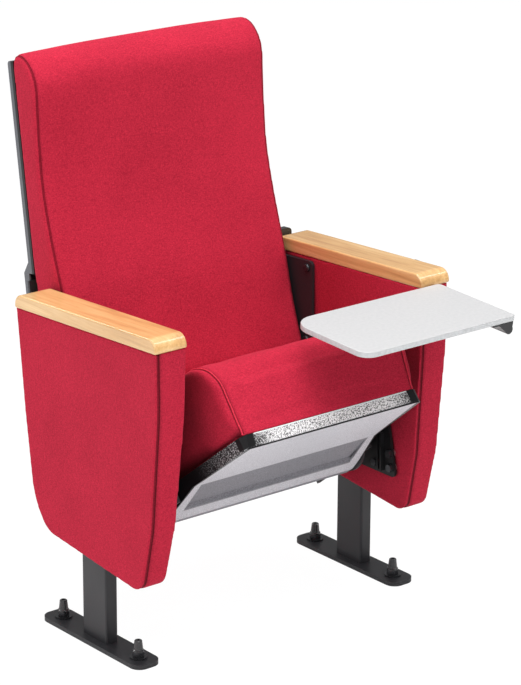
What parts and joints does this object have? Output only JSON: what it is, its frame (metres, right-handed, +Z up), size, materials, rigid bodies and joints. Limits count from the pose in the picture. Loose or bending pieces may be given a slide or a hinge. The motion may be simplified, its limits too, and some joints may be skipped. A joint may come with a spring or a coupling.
{
  "type": "tip up auditorium seat",
  "caption": "Tip-up auditorium seat on two floor stands, with padded side panels, wooden armrests, an upholstered back and a flip-up writing tablet.",
  "frame": {"origin": "on the floor, midway between the two stands, at the middle of the anchor-hole pattern", "axes": "+X across the row of seats, +Y backwards (the sitter looks towards -Y), +Z up"},
  "size_m": [0.6626, 0.7119, 0.9852],
  "materials": {
    "black_steel": "satin powder coat",
    "steel": "zinc plated",
    "weight_steel": "raw bar",
    "black_fixings": "blackened",
    "black_alloy": "black anodised",
    "beech": "clear lacquer",
    "board": "raw plywood",
    "fabric": "fine woven, red",
    "black_rubber": "matte",
    "black_plastic": "semi matte",
    "shell_plastic": "fine grained, dark grey",
    "pan_plastic": "grained, grey",
    "tablet_plastic": "smooth light grey"
  },
  "bodies": {
    "frame": {"anchor_caps": "black_plastic", "anchor_nuts": "black_fixings", "anchor_washers": "black_fixings", "arm_end_block": "black_plastic", "arm_screws": "steel", "back_board": "board", "back_bracket_screws": "black_fixings", "back_cushion": "fabric", "back_shell": "shell_plastic", "flange_screws": "black_fixings", "left_arm_bearer": "black_steel", "left_armrest": "beech", "left_back_bracket": "black_steel", "left_base_plate": "black_steel", "left_hinge_bolts": "black_fixings", "left_hinge_bracket": "black_steel", "left_pivot_pin": "steel", "left_post": "black_steel", "left_side_core": "board", "left_side_cover": "fabric", "left_spacer_sleeves": "steel", "left_stop_sleeve": "black_rubber", "left_stop_stud": "steel", "right_arm_bearer": "black_steel", "right_armrest": "beech", "right_back_bracket": "black_steel", "right_base_plate": "black_steel", "right_hinge_bolts": "black_fixings", "right_hinge_bracket": "black_steel", "right_pivot_pin": "steel", "right_post": "black_steel", "right_side_core": "board", "right_side_cover": "fabric", "right_spacer_sleeves": "steel", "right_stop_sleeve": "black_rubber", "right_stop_stud": "steel", "shell_screws": "black_fixings", "tablet_pivot_nut": "black_fixings", "tablet_pivot_pin": "steel", "tablet_pivot_plate": "black_steel", "tablet_plate_screws": "black_fixings"},
    "seat": {"seat_pan": "pan_plastic", "seat_board": "board", "seat_cushion": "fabric", "counterweight": "weight_steel", "right_seat_arm": "black_steel", "left_seat_arm": "black_steel", "right_seat_bush": "black_plastic", "left_seat_bush": "black_plastic", "seat_board_screws": "steel", "seat_arm_screws": "black_fixings"},
    "tablet_arm_body": {"tablet_arm": "black_steel"},
    "tablet": {"tablet_board": "tablet_plastic", "hinge_bar": "black_alloy", "tablet_screws": "steel"}
  },
  "joints": [
    {"name": "seat_tip", "type": "hinge", "parent": "frame", "child": "seat", "pos_m": [0, -0.0586, 0.2683], "axis": [1, 0, 0], "range_deg": [0, 33.4], "stiffness_Nm_per_rad": 4.5, "springref_deg": -6.88},
    {"name": "tablet_swing", "type": "hinge", "parent": "frame", "child": "tablet_arm_body", "pos_m": [0.3298, -0.14, 0.582], "axis": [1, 0, 0], "range_deg": [-90, 0]},
    {"name": "tablet_flip", "type": "hinge", "parent": "tablet_arm_body", "child": "tablet", "pos_m": [0.28, -0.2106, 0.56702], "axis": [0, 0.9991, 0.0419], "range_deg": [0, 90]}
  ]
}
